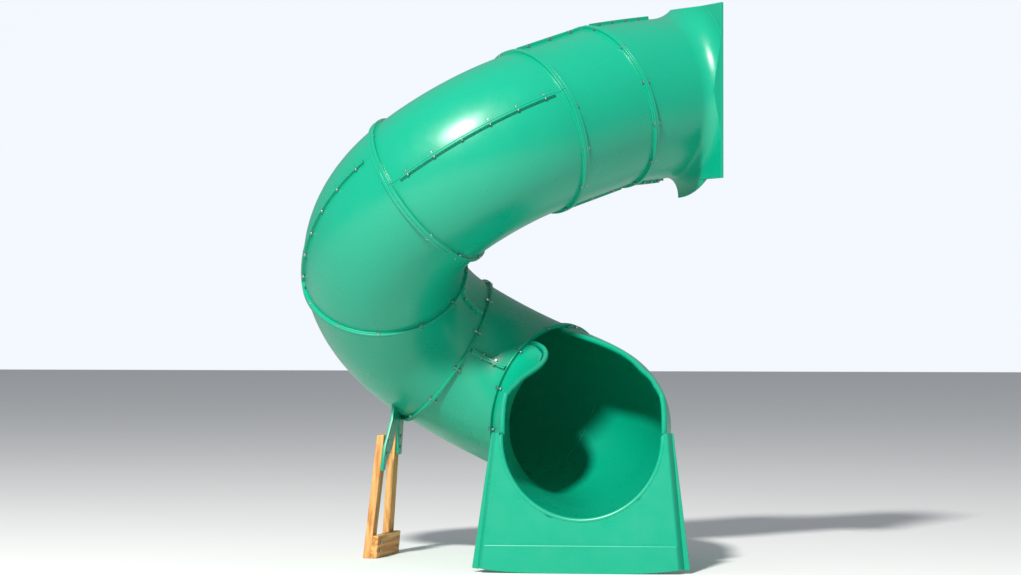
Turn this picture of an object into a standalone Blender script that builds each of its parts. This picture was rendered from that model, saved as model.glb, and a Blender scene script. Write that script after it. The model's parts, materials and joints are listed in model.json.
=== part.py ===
"""Spiral tube slide for a raised deck: entrance, straight tube, four elbows, open exit and a timber prop.

Metres, +Z up. The exit points along -Y and the origin is under the middle of the object's box.
"""
import math

import bmesh
import bpy
from mathutils import Matrix, Vector

# Tube sections, all of one moulded wall
FLANGE_RADIUS = 0.325
TUBE_RADIUS = 0.312
WALL = 0.006
FLANGE_THICKNESS = 0.009
SEAM_THICKNESS = 0.008
GAP = 0.0003

# Centre line, from the deck down to the exit
ENTRANCE_HEADING = math.radians(-138.3)
ENTRANCE_SLOPE = math.radians(8.4)
TUBE_SLOPE = math.radians(18.2)
ENTRANCE_LENGTH = 0.367
STRAIGHT_LENGTH = 0.340
ELBOW_ANGLE = math.radians(54.5)
ELBOW_RADIUS = 0.5047
FIRST_ELBOW_TURN = math.radians(118.2)
NEXT_ELBOW_TURN = math.radians(28.6)
ELBOW_COUNT = 4
EXIT_RADIUS = 0.470
EXIT_ANGLE = math.radians(55.8)
EXIT_TURN = math.radians(20.2)
EXIT_STRAIGHT = 0.346
RIM_HEIGHT = 0.495

# Entrance panel
PANEL_YAW = math.radians(-6.4)
PANEL_HALF = 0.337
PANEL_THICKNESS = 0.012
FLARE_RADIUS = 0.088
FLARE_INSIDE = 0.022
COLLAR_LENGTH = 0.030

# Exit scoop and foot
SCOOP_SETBACK = 0.075
SCOOP_CORNER_HEIGHT = 0.163
EDGE_SETBACK = 0.060
SHOULDER_HEIGHT = 0.026
FOOT_LEAN = math.radians(8.0)
FOOT_HALF_TOP = 0.318
FOOT_HALF_BOTTOM = 0.368
FOOT_DEPTH = 0.040
FOOT_WALL = 0.008
FOOT_DRAFT = 0.50
FLANGE_AT_TOP = 0.002
FLANGE_AT_GROUND = 0.016
TOE_HEIGHT = 0.108
TOE_PROUD = 0.006

# Fasteners
BOLT_RADIUS = 0.003
HEAD_RADIUS = 0.0055
HEAD_THICKNESS = 0.004
RING_POSITIONS = 12
RING_BOLTS = 4

# Timber prop below the third elbow's lower ring
PROP_HEADING = math.radians(84.8)
PROP_LENGTH = 0.315
LEG_THICKNESS = 0.030
LEG_WIDTH = 0.060
BOARD_THICKNESS = 0.027
BOARD_HEIGHT = 0.088
BRACKET_THICKNESS = 0.012
PROP_SHIFT = 0.083
PROP_SLANT = 0.094
PROP_TAPER = 0.044
NEAR_LEG_HEIGHT = 0.480
FAR_LEG_HEIGHT = 0.500
BRACKET_OUTER_NEAR = ((0.0, 0.340), (0.0, 0.436), (0.055, 0.536), (0.057, 0.620))
BRACKET_INNER_NEAR = ((0.028, 0.340), (0.045, 0.376), (0.100, 0.428), (0.110, 0.472), (0.145, 0.530))
BRACKET_INNER_FAR = ((0.065, 0.530), (0.060, 0.490), (0.045, 0.395))
BRACKET_OUTER_FAR = ((0.0, 0.395), (0.0, 0.620))
BRACKET_BOLTS = {"leg_near": (0.406, 0.454), "leg_far": (0.425, 0.468)}
BOARD_BOLTS = (0.030, 0.062)

SIDES = 28
ARC_STEPS = 6
BOLT_SIDES = 6
MERGE_DISTANCE = 0.00001


def clear_scene():
    for item in list(bpy.data.objects):
        bpy.data.objects.remove(item, do_unlink=True)


def make_material(name, color, roughness, metallic=0.0):
    material = bpy.data.materials.new(name)
    material.use_nodes = True
    shader = material.node_tree.nodes["Principled BSDF"]
    shader.inputs["Base Color"].default_value = (*color, 1.0)
    shader.inputs["Roughness"].default_value = roughness
    shader.inputs["Metallic"].default_value = metallic
    return material


def add_object(name, mesh):
    item = bpy.data.objects.new(name, mesh)
    bpy.context.scene.collection.objects.link(item)
    return item


def mesh_object(name, build):
    """Make one object whose mesh is filled by the build function, faces pointing out."""
    shape = bmesh.new()
    build(shape)
    bmesh.ops.recalc_face_normals(shape, faces=shape.faces)
    mesh = bpy.data.meshes.new(name)
    shape.to_mesh(mesh)
    shape.free()
    return add_object(name, mesh)


def boolean(item, tool, operation):
    """Apply an exact Boolean and throw the tool object away."""
    change = item.modifiers.new("Cut", "BOOLEAN")
    change.operation = operation
    change.solver = "EXACT"
    change.object = tool
    graph = bpy.context.evaluated_depsgraph_get()
    mesh = bpy.data.meshes.new_from_object(item.evaluated_get(graph))
    item.modifiers.clear()
    item.data = mesh
    bpy.data.objects.remove(tool, do_unlink=True)
    close_slivers(mesh)


def close_slivers(mesh):
    """Merge points nearer than a hundredth of a millimetre and close the pinholes that this leaves."""
    shape = bmesh.new()
    shape.from_mesh(mesh)
    bmesh.ops.remove_doubles(shape, verts=shape.verts, dist=MERGE_DISTANCE)
    bmesh.ops.dissolve_degenerate(shape, edges=shape.edges, dist=MERGE_DISTANCE)
    open_edges = [edge for edge in shape.edges if edge.is_boundary]
    if open_edges:
        bmesh.ops.holes_fill(shape, edges=open_edges, sides=6)
        bmesh.ops.recalc_face_normals(shape, faces=shape.faces)
    shape.to_mesh(mesh)
    shape.free()


def loops_to_mesh(shape, loops, closed):
    """Skin a row of point loops, either as a closed pipe wall or as a capped solid."""
    rows = [[shape.verts.new(point) for point in loop] for loop in loops]
    count = len(rows[0])
    pairs = list(zip(rows, rows[1:]))
    if closed:
        pairs.append((rows[-1], rows[0]))
    for row, following in pairs:
        for k in range(count):
            after = (k + 1) % count
            shape.faces.new((row[k], row[after], following[after], following[k]))
    if not closed:
        shape.faces.new(rows[0][::-1])
        shape.faces.new(rows[-1])


class Station:
    """A point on the centre line with its direction and the side direction its seams lie in."""

    def __init__(self, point, along, seam):
        self.point = point
        self.along = along
        self.seam = seam
        self.across = along.cross(seam)

    def place(self, radius, angle):
        return self.point + (self.seam * math.cos(angle) + self.across * math.sin(angle)) * radius

    def shifted(self, distance):
        return Station(self.point + self.along * distance, self.along, self.seam)

    def turned(self, angle):
        seam = self.seam * math.cos(angle) + self.across * math.sin(angle)
        return Station(self.point, self.along, seam)


class Section:
    """One length of tube: straight when its angle is zero, otherwise bent towards its seam."""

    def __init__(self, start, length, angle=0.0):
        self.start = start
        self.length = length
        self.angle = angle

    def at(self, distance):
        start = self.start
        if self.angle == 0.0:
            return Station(start.point + start.along * distance, start.along, start.seam)
        radius = self.length / self.angle
        turn = distance / radius
        point = start.point + radius * (math.sin(turn) * start.along + (1 - math.cos(turn)) * start.seam)
        along = math.cos(turn) * start.along + math.sin(turn) * start.seam
        seam = math.cos(turn) * start.seam - math.sin(turn) * start.along
        return Station(point, along, seam)

    def end(self):
        return self.at(self.length)


def circle(station, radius, sides=SIDES):
    return [station.place(radius, 2 * math.pi * k / sides) for k in range(sides)]


def pipe_rings(section, steps, extra=0.0):
    """(station, radius) pairs along a section: square-faced flanges at both ends and the bend between."""
    face = GAP / 2 - extra
    back = GAP / 2 + FLANGE_THICKNESS + extra
    start = section.start
    end = section.end()
    flange = FLANGE_RADIUS + extra
    tube = TUBE_RADIUS + extra
    rings = [(start.shifted(face), flange), (start.shifted(back), flange), (start.shifted(back), tube)]
    rings += [(section.at(section.length * k / steps), tube) for k in range(1, steps)]
    rings += [(end.shifted(-back), tube), (end.shifted(-back), flange), (end.shifted(-face), flange)]
    return rings


def make_pipe(name, section, steps):
    rings = pipe_rings(section, steps)
    outside = [circle(station, radius) for station, radius in rings]
    inside = [circle(station, TUBE_RADIUS - WALL) for station, radius in [rings[0]] + rings[2:-2] + [rings[-1]]]
    return mesh_object(name, lambda shape: loops_to_mesh(shape, outside + inside[::-1], True))


def make_plug(section, steps, extra):
    """The section's whole outer shape, a little larger, for cutting what touches it."""
    outside = [circle(station, radius) for station, radius in pipe_rings(section, steps, extra)]
    return mesh_object("plug", lambda shape: loops_to_mesh(shape, outside, False))


def seam_loop(station, side):
    corners = [(TUBE_RADIUS - 0.003, -1), (FLANGE_RADIUS, -1), (FLANGE_RADIUS, 1), (TUBE_RADIUS - 0.003, 1)]
    return [station.point + station.seam * side * radius + station.across * sign * SEAM_THICKNESS
            for radius, sign in corners]


def add_seam(item, section, side, begin, finish, steps):
    """Join a raised seam strip onto a pipe, on the seam side (1) or opposite it (-1)."""
    loops = [seam_loop(section.at(begin + (finish - begin) * k / steps), side) for k in range(steps + 1)]
    strip = mesh_object("strip", lambda shape: loops_to_mesh(shape, loops, False))
    boolean(item, strip, "UNION")


def box_mesh(shape, origin, axes, low, high):
    """Fill a box whose corners run from low to high along three axes."""
    corners = []
    for x in (low[0], high[0]):
        for y in (low[1], high[1]):
            for z in (low[2], high[2]):
                corners.append(shape.verts.new(origin + axes[0] * x + axes[1] * y + axes[2] * z))
    for face in ((0, 1, 3, 2), (4, 6, 7, 5), (0, 4, 5, 1), (2, 3, 7, 6), (0, 2, 6, 4), (1, 5, 7, 3)):
        shape.faces.new([corners[k] for k in face])


def box_object(name, origin, axes, low, high):
    return mesh_object(name, lambda shape: box_mesh(shape, origin, axes, low, high))


def loft_object(name, place, layers):
    """Skin (depth, outline) layers of (a, b) points; place(a, b, depth) gives the point in space."""
    def build(shape):
        loops_to_mesh(shape, [[place(a, b, depth) for a, b in outline] for depth, outline in layers], False)
    return mesh_object(name, build)


def prism_object(name, outline, place, low, high):
    return loft_object(name, place, ((low, outline), (high, outline)))


def cylinder_loops(point, axis, side, radius, begin, finish, sides=BOLT_SIDES):
    other = axis.cross(side)
    loops = []
    for shift in (begin, finish):
        loops.append([point + axis * shift + radius * (side * math.cos(2 * math.pi * k / sides)
                      + other * math.sin(2 * math.pi * k / sides)) for k in range(sides)])
    return loops


def drill(item, spots, reach):
    """Cut a clearance hole for each (point, axis, side) fastener spot."""
    def build(shape):
        for point, axis, side in spots:
            loops = cylinder_loops(point, axis, side, BOLT_RADIUS + GAP, -reach, reach)
            loops_to_mesh(shape, loops, False)
    boolean(item, mesh_object("holes", build), "DIFFERENCE")


def make_bolt(name, spot, grip, material, head=HEAD_RADIUS):
    """A bolt and its nut as one turned solid, gripping the given thickness on each side of its point."""
    point, axis, side = spot
    seat = grip + GAP
    end = seat + HEAD_THICKNESS
    steps = [(-end, head), (-seat, head), (-seat, BOLT_RADIUS), (seat, BOLT_RADIUS), (seat, head), (end, head)]
    loops = [cylinder_loops(point, axis, side, radius, shift, shift)[0] for shift, radius in steps]
    bolt = mesh_object(name, lambda shape: loops_to_mesh(shape, loops, False))
    finish_object(bolt, material)
    return bolt


def split(item, station, names, material):
    """Cut a whole section in two along its seam plane, leaving a fine gap between the halves."""
    axes = (station.along, station.seam, station.across)
    halves = []
    for name, sign in zip(names, (1, -1)):
        half = add_object(name, item.data.copy())
        low = (-3, -3, GAP / 2 if sign > 0 else -3)
        high = (3, 3, 3 if sign > 0 else -GAP / 2)
        boolean(half, box_object("side", station.point, axes, low, high), "INTERSECT")
        finish_object(half, material)
        halves.append(half)
    bpy.data.objects.remove(item, do_unlink=True)
    return halves


def finish_object(item, material):
    item.data.materials.clear()
    item.data.materials.append(material)
    item.data.shade_smooth()
    item.data.set_sharp_from_angle(angle=math.radians(30))


def ring_spots(station, positions, chosen):
    """Fastener spots around a joint, half a step away from the seam."""
    spots = []
    for k in range(0, positions, positions // chosen):
        angle = 2 * math.pi * (k + 1.5) / positions
        radius = (TUBE_RADIUS + FLANGE_RADIUS) / 2
        side = station.seam * math.cos(angle) + station.across * math.sin(angle)
        spots.append((station.place(radius, angle), station.along, side))
    return spots


def centre_line():
    """Walk the centre line down from the first joint and return the sections by name."""
    heading = Vector((math.cos(ENTRANCE_HEADING), math.sin(ENTRANCE_HEADING), 0))
    up = Vector((0, 0, 1))
    along = heading * math.cos(TUBE_SLOPE) - up * math.sin(TUBE_SLOPE)
    upward = heading * math.sin(TUBE_SLOPE) + up * math.cos(TUBE_SLOPE)
    sections = {"straight": Section(Station(Vector((0, 0, 0)), along, upward), STRAIGHT_LENGTH)}
    station = sections["straight"].end().turned(FIRST_ELBOW_TURN)
    for number in range(1, ELBOW_COUNT + 1):
        sections["elbow_%d" % number] = Section(station, ELBOW_RADIUS * ELBOW_ANGLE, ELBOW_ANGLE)
        station = sections["elbow_%d" % number].end().turned(NEXT_ELBOW_TURN)
    station = sections["elbow_%d" % ELBOW_COUNT].end().turned(EXIT_TURN)
    sections["exit"] = Section(station, EXIT_RADIUS * EXIT_ANGLE, EXIT_ANGLE)
    return sections


def flare(radius, size, distance):
    """Radius of a tube that opens through a cove of the given size towards distance zero."""
    if distance >= size:
        return radius
    rise = min(1.0, 1 - distance / size)
    return radius + size * (1 - math.sqrt(1 - rise * rise))


def make_entrance(ring, spots, material):
    """Inlet tube opening through a cove into its square panel, split down the middle; it ends at the ring."""
    up = Vector((0, 0, 1))
    heading = Vector((ring.along.x, ring.along.y, 0)).normalized()
    axis = heading * math.cos(ENTRANCE_SLOPE) - up * math.sin(ENTRANCE_SLOPE)
    run = ENTRANCE_LENGTH - COLLAR_LENGTH
    centre = ring.point - ring.along * COLLAR_LENGTH - axis * run
    facing = heading.copy()
    facing.rotate(Matrix.Rotation(PANEL_YAW, 3, up))
    axes = (facing, facing.cross(up), up)

    def mouth(distance):
        """A station square to the panel that leans over to the ring's own direction further down."""
        share = min(max(distance / run, 0.0), 1.0)
        along = facing.lerp(ring.along, share).normalized()
        point = centre + axis * run * share
        if distance < 0 or distance > run:
            point += along * (distance - run * share)
        down = (-up + along * along.z).normalized()
        return Station(point, along, down)

    def loops(radius, size, begin, distances):
        return [circle(mouth(distance), flare(radius, size, distance - begin)) for distance in distances]

    fractions = (0.0, 0.06, 0.20, 0.42, 0.72)
    far = ENTRANCE_LENGTH - GAP / 2
    cove = [PANEL_THICKNESS + FLARE_RADIUS * fraction for fraction in fractions]
    body = [0.15, 0.25, far - FLANGE_THICKNESS]
    outside = loops(TUBE_RADIUS, FLARE_RADIUS, PANEL_THICKNESS, [0.003] + cove + body)
    flange = [circle(mouth(distance), FLANGE_RADIUS) for distance in (far - FLANGE_THICKNESS, far)]
    whole = mesh_object("whole", lambda shape: loops_to_mesh(shape, outside + flange, False))

    def square_layer(depth, half):
        return (depth, [(-half, -half), (half, -half), (half, half), (-half, half)])

    def panel_place(across, height, depth):
        return centre + axes[1] * across + up * height + facing * depth

    trim = PANEL_HALF - 0.001
    behind_cove = PANEL_THICKNESS + FLARE_RADIUS
    layers = [square_layer(-0.1, trim), square_layer(behind_cove, trim), square_layer(behind_cove, 1.0),
              square_layer(1.0, 1.0)]
    boolean(whole, loft_object("square", panel_place, layers), "INTERSECT")
    panel = box_object("panel", centre, axes, (0, -PANEL_HALF, -PANEL_HALF),
                       (PANEL_THICKNESS, PANEL_HALF, PANEL_HALF))
    boolean(whole, panel, "UNION")
    for side in (1, -1):
        loops_of_seam = [seam_loop(mouth(distance), side) for distance in (0.12, 0.24, far - 0.004)]
        strip = mesh_object("strip", lambda shape: loops_to_mesh(shape, loops_of_seam, False))
        boolean(whole, strip, "UNION")
    lip = [FLARE_INSIDE * fraction for fraction in fractions]
    bore = loops(TUBE_RADIUS - WALL, FLARE_INSIDE, 0.0, [-0.02] + lip + [0.06, 0.15, 0.25, far + 0.02])
    boolean(whole, mesh_object("bore", lambda shape: loops_to_mesh(shape, bore, False)), "DIFFERENCE")
    drill(whole, spots, 0.03)
    return split(whole, ring, ("entrance_half_a", "entrance_half_b"), material)


def make_tube(name, section, steps, spots, material):
    """A flanged tube with a seam strip on both sides of its plane, as two halves."""
    whole = make_pipe("whole", section, steps)
    margin = 0.07 * section.length
    for side in (1, -1):
        add_seam(whole, section, side, margin, section.length - margin, steps)
    drill(whole, spots, 0.03)
    return split(whole, section.start, (name + "_half_a", name + "_half_b"), material)


def scoop_loop(station, radius, blend, sides=SIDES):
    """A tube outline whose upper half grows square-shouldered as blend goes from 0 to 1."""
    up = (Vector((0, 0, 1)) - station.along * station.along.z).normalized()
    side = up.cross(station.along)
    power = 2 + 2 * blend
    points = []
    for k in range(sides):
        angle = 2 * math.pi * k / sides
        level = math.sin(angle)
        width = math.cos(angle)
        reach = radius
        if level > 0:
            reach = radius * (abs(width) ** power + level ** power) ** (-1 / power)
        points.append(station.point + (side * width + up * level) * reach)
    return points


def exit_path(section):
    """Stations through the exit's bend and along its level run, with the shoulder blend."""
    path = [(section.at(section.length * k / ARC_STEPS), 0.0) for k in range(1, ARC_STEPS + 1)]
    end = section.end()
    for share, blend in ((0.45, 0.2), (0.65, 0.4), (0.8, 1.0), (1.0, 1.0)):
        path.append((end.shifted(EXIT_STRAIGHT * share), blend))
    return path


def make_exit(section, spots, material):
    """Open scoop with its foot: bend, level run, cut-away top and the skirt down to the ground."""
    path = exit_path(section)
    rim = path[-1][0]
    start = section.start.shifted(GAP / 2)
    collar = section.start.shifted(GAP / 2 + FLANGE_THICKNESS)
    outside = [scoop_loop(start, FLANGE_RADIUS, 0), scoop_loop(collar, FLANGE_RADIUS, 0),
               scoop_loop(collar, TUBE_RADIUS, 0)]
    outside += [scoop_loop(station, TUBE_RADIUS, blend) for station, blend in path + [(rim.shifted(0.12), 1)]]
    body = mesh_object("exit_section", lambda shape: loops_to_mesh(shape, outside, False))

    forward = Vector((rim.along.x, rim.along.y, 0)).normalized()
    up = Vector((0, 0, 1))
    side = up.cross(forward)
    ground = rim.point.z - RIM_HEIGHT

    def side_place(reach, height, depth):
        return rim.point - forward * reach + up * height + side * depth

    lean = math.tan(FOOT_LEAN)
    ahead = [(0.4 * lean, 0.4), (-0.5 * lean, -0.5), (-1.0, -0.5), (-1.0, 0.4)]
    boolean(body, prism_object("ahead", ahead, side_place, -0.6, 0.6), "DIFFERENCE")

    def foot_place(across, height, depth):
        base = Vector((rim.point.x, rim.point.y, ground))
        return base + side * across + up * height + forward * (lean * (RIM_HEIGHT - height) - depth)

    shoulder = RIM_HEIGHT + SHOULDER_HEIGHT

    def outline(bottom, top, inset, depth):
        """The foot's front view between two heights, opened out by its draft at the given depth."""
        points = []
        for sign, height in ((-1, bottom), (1, bottom), (1, top), (-1, top)):
            drop = 1 - height / shoulder
            half = FOOT_HALF_TOP + (FOOT_HALF_BOTTOM - FOOT_HALF_TOP) * drop
            draft = FOOT_DRAFT * depth * (0.8 + 0.2 * drop)
            points.append((sign * (half + draft - inset), height))
        return points

    skirt = loft_object("skirt", foot_place, ((0, outline(0, shoulder, 0, 0)),
                                              (FOOT_DEPTH, outline(0, shoulder, 0, FOOT_DEPTH))))
    toe = outline(0, TOE_HEIGHT, 0, 0)
    boolean(skirt, prism_object("toe", toe, foot_place, -TOE_PROUD, FOOT_WALL), "UNION")
    flange = outline(0, shoulder, 0, FOOT_DEPTH)
    for k, extra in enumerate((-FLANGE_AT_GROUND, FLANGE_AT_GROUND, FLANGE_AT_TOP, -FLANGE_AT_TOP)):
        flange[k] = (flange[k][0] + extra, flange[k][1])
    back = prism_object("back", flange, foot_place, FOOT_DEPTH - FOOT_WALL, FOOT_DEPTH)
    boolean(skirt, back, "UNION")
    deep = FOOT_DEPTH + 0.05
    roof = shoulder - FOOT_WALL
    hollow = loft_object("hollow", foot_place, ((FOOT_WALL, outline(-0.05, roof, FOOT_WALL, FOOT_WALL)),
                                                (deep, outline(-0.05, roof, FOOT_WALL, deep))))
    boolean(skirt, hollow, "DIFFERENCE")
    boolean(body, skirt, "UNION")

    bore_path = [(section.start.shifted(-0.01), 0), (start, 0)] + path + [(rim.shifted(0.20), 1)]
    bore = [scoop_loop(station, TUBE_RADIUS - WALL, blend) for station, blend in bore_path]
    boolean(body, mesh_object("bore", lambda shape: loops_to_mesh(shape, bore, False)), "DIFFERENCE")

    apex = section.at(SCOOP_SETBACK)
    apex_up = (up - apex.along * apex.along.z).normalized()
    top = apex.point + apex_up * TUBE_RADIUS - rim.point
    corner = (EDGE_SETBACK + SCOOP_CORNER_HEIGHT * lean, SCOOP_CORNER_HEIGHT)
    apex_reach = -top.dot(forward)
    over = 0.5
    slope = (top.z - corner[1]) / (apex_reach - corner[0])
    cut = [(EDGE_SETBACK + SHOULDER_HEIGHT * lean, SHOULDER_HEIGHT), corner, (apex_reach, top.z),
           (apex_reach + over, top.z + over * slope), (-over, top.z + over * slope), (-over, SHOULDER_HEIGHT)]
    boolean(body, prism_object("cut", cut, side_place, -0.6, 0.6), "DIFFERENCE")
    drill(body, spots, 0.03)
    finish_object(body, material)
    return body, rim, ground


def make_prop(ring, ground, plugs, pine, green, steel):
    """Two slanting legs, their bottom board and the moulded bracket under the tube."""
    up = Vector((0, 0, 1))
    along = Vector((math.cos(PROP_HEADING), math.sin(PROP_HEADING), 0))
    side = along.cross(up)
    down = (-up + ring.along * ring.along.z).normalized()
    lowest = ring.point + down * FLANGE_RADIUS
    middle = Vector((lowest.x, lowest.y, ground)) - along * 0.05 - side * PROP_SHIFT
    normal = along.cross(up + side * PROP_SLANT).normalized()

    def place(reach, height, depth):
        return middle + along * reach + up * height + side * (depth + PROP_SLANT * height)

    def leg_edge(inset, height, sign):
        """Reach of a leg's outer edge at a height, moved in by the inset."""
        return sign * (PROP_LENGTH / 2 - PROP_TAPER * height / NEAR_LEG_HEIGHT - inset)

    half = PROP_LENGTH / 2
    legs = []
    for name, sign, height in (("leg_near", -1, NEAR_LEG_HEIGHT), ("leg_far", 1, FAR_LEG_HEIGHT)):
        outline = [(leg_edge(inset, level, sign), level)
                   for inset, level in ((0, 0), (LEG_WIDTH, 0), (LEG_WIDTH, height), (0, height))]
        legs.append(prism_object(name, outline, place, -LEG_THICKNESS - GAP, -GAP))
    board = prism_object("base_board", [(-half, 0), (half, 0), (half, BOARD_HEIGHT), (-half, BOARD_HEIGHT)],
                         place, 0, BOARD_THICKNESS)
    near = [(leg_edge(inset, height, -1), height)
            for inset, height in BRACKET_OUTER_NEAR[::-1] + BRACKET_INNER_NEAR]
    far = [(leg_edge(inset, height, 1), height) for inset, height in BRACKET_INNER_FAR + BRACKET_OUTER_FAR]
    bracket = prism_object("prop_bracket", near + far, place, 0, BRACKET_THICKNESS)
    spots = {}
    for leg, sign in zip(legs, (-1, 1)):
        spots[leg.name] = []
        levels = [(height, BOARD_THICKNESS) for height in BOARD_BOLTS]
        levels += [(height, BRACKET_THICKNESS) for height in BRACKET_BOLTS[leg.name]]
        for height, plate in levels:
            reach = leg_edge(LEG_WIDTH / 2, height, sign)
            spots[leg.name].append((place(reach, height, (plate - LEG_THICKNESS - GAP) / 2), normal, along))
        drill(leg, spots[leg.name], 0.06)
    drill(board, spots["leg_near"][:2] + spots["leg_far"][:2], 0.06)
    drill(bracket, spots["leg_near"][2:] + spots["leg_far"][2:], 0.06)
    for item in legs + [bracket]:
        for plug in plugs:
            boolean(item, plug(), "DIFFERENCE")
    for item in legs + [board]:
        finish_object(item, pine)
    finish_object(bracket, green)
    for name in spots:
        for number, spot in enumerate(spots[name], 1):
            plate = BOARD_THICKNESS if number < 3 else BRACKET_THICKNESS
            grip = (plate + LEG_THICKNESS + GAP) / 2 * abs(normal.dot(side))
            make_bolt("prop_bolt_%s_%d" % (name.split("_")[1], number), spot, grip, steel)


def centre_on_ground():
    """Move everything so that the origin is under the middle of the object's box."""
    bpy.context.view_layer.update()
    items = [item for item in bpy.data.objects if item.type == "MESH"]
    points = [item.matrix_world @ vertex.co for item in items for vertex in item.data.vertices]
    low = [min(point[k] for point in points) for k in range(3)]
    high = [max(point[k] for point in points) for k in range(3)]
    shift = Vector((-(low[0] + high[0]) / 2, -(low[1] + high[1]) / 2, -low[2]))
    for item in items:
        item.data.transform(Matrix.Translation(shift))


def main():
    clear_scene()
    sections = centre_line()
    names = list(sections)
    green = make_material("moulded_green", (0.0, 0.55, 0.42), 0.35)
    pine = make_material("pine", (0.70, 0.42, 0.17), 0.7)
    steel = make_material("zinc_plated_steel", (0.62, 0.64, 0.65), 0.35, 1.0)

    first_ring = sections["straight"].start
    joints = {"entrance": ring_spots(first_ring, RING_POSITIONS, RING_BOLTS)}
    for name in names[:-1]:
        joints[name] = ring_spots(sections[name].end(), RING_POSITIONS, RING_BOLTS)
    for number, spots in enumerate(joints.values(), 1):
        for index, spot in enumerate(spots, 1):
            make_bolt("ring_%d_bolt_%d" % (number, index), spot, FLANGE_THICKNESS + GAP / 2, steel)

    make_entrance(first_ring, joints["entrance"], green)
    make_tube("straight", sections["straight"], 3, joints["entrance"] + joints["straight"], green)
    for number in range(1, ELBOW_COUNT + 1):
        name = "elbow_%d" % number
        before = names[names.index(name) - 1]
        make_tube(name, sections[name], ARC_STEPS, joints[before] + joints[name], green)
    exit_body, rim, ground = make_exit(sections["exit"], joints[names[-2]], green)
    plugs = [lambda: make_plug(sections["elbow_3"], ARC_STEPS, GAP),
             lambda: make_plug(sections["elbow_4"], ARC_STEPS, GAP)]
    make_prop(sections["elbow_3"].end(), ground, plugs, pine, green, steel)
    centre_on_ground()


main()
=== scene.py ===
import bmesh
import bpy
import json
import math
from mathutils import Matrix, Vector


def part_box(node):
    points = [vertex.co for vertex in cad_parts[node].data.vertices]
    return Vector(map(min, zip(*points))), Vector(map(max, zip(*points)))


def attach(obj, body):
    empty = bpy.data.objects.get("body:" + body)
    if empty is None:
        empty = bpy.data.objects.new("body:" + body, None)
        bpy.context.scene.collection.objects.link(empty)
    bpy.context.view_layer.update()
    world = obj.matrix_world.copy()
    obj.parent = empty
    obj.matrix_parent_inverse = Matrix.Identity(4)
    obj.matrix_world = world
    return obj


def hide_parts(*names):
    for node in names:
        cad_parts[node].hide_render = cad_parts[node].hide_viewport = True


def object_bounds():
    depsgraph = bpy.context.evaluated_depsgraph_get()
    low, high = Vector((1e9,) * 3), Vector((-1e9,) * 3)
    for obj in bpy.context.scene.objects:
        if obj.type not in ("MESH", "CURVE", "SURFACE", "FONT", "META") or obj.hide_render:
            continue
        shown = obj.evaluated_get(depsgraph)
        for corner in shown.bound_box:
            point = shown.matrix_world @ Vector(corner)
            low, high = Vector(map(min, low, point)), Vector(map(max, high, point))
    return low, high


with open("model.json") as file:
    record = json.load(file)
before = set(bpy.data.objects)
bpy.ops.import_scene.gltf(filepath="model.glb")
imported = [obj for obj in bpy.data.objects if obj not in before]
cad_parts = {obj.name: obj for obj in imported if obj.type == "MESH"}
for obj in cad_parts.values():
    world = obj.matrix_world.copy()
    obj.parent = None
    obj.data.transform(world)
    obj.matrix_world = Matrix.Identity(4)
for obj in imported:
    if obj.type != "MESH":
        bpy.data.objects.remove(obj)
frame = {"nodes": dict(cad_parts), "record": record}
cadLow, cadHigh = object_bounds()
mounts = {mount["name"]: Vector(mount["pos_m"]) for mount in frame["record"]["mounts"]}
print("frame loaded:", len(frame["nodes"]), "CAD nodes")

# sizes in metres, angles in degrees, the same as the CAD's
tube = {"radius": 0.312, "flange": 0.325, "wall": 0.006, "collar": 0.009, "seamHalf": 0.008,
        "gap": 0.0003, "sides": 96, "softEdge": 0.0016, "seamMargin": 0.07}
route = {"heading": -138.3, "slope": 18.2, "straight": 0.340, "elbowAngle": 54.5, "elbowRadius": 0.5047,
         "firstTurn": 118.2, "nextTurn": 28.6, "elbows": 4, "exitRadius": 0.470, "exitAngle": 55.8,
         "exitTurn": 20.2, "exitRun": 0.346, "rimHeight": 0.495, "lean": 8.0}
up = Vector((0, 0, 1))


# ---- places along the tube: x is the seam's side, y across the seam, z down the slide
def placeAt(point, along, seam):
    place = Matrix((seam, along.cross(seam), along)).transposed().to_4x4()
    place.translation = point
    return place


def axisOf(place, index):
    return place.col[index].to_3d()


def ahead(place, distance):
    return place @ Matrix.Translation((0, 0, distance))


def turned(place, degrees):
    return place @ Matrix.Rotation(math.radians(degrees), 4, "Z")


def bent(place, radius, distance):
    if not radius:
        return ahead(place, distance)
    swing = Matrix.Rotation(distance / radius, 4, "Y")
    return place @ Matrix.Translation((radius, 0, 0)) @ swing @ Matrix.Translation((-radius, 0, 0))


def upright(place):
    along = axisOf(place, 2)
    rise = (up - along * along.z).normalized()
    return placeAt(place.translation, along, rise.cross(along))


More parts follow.
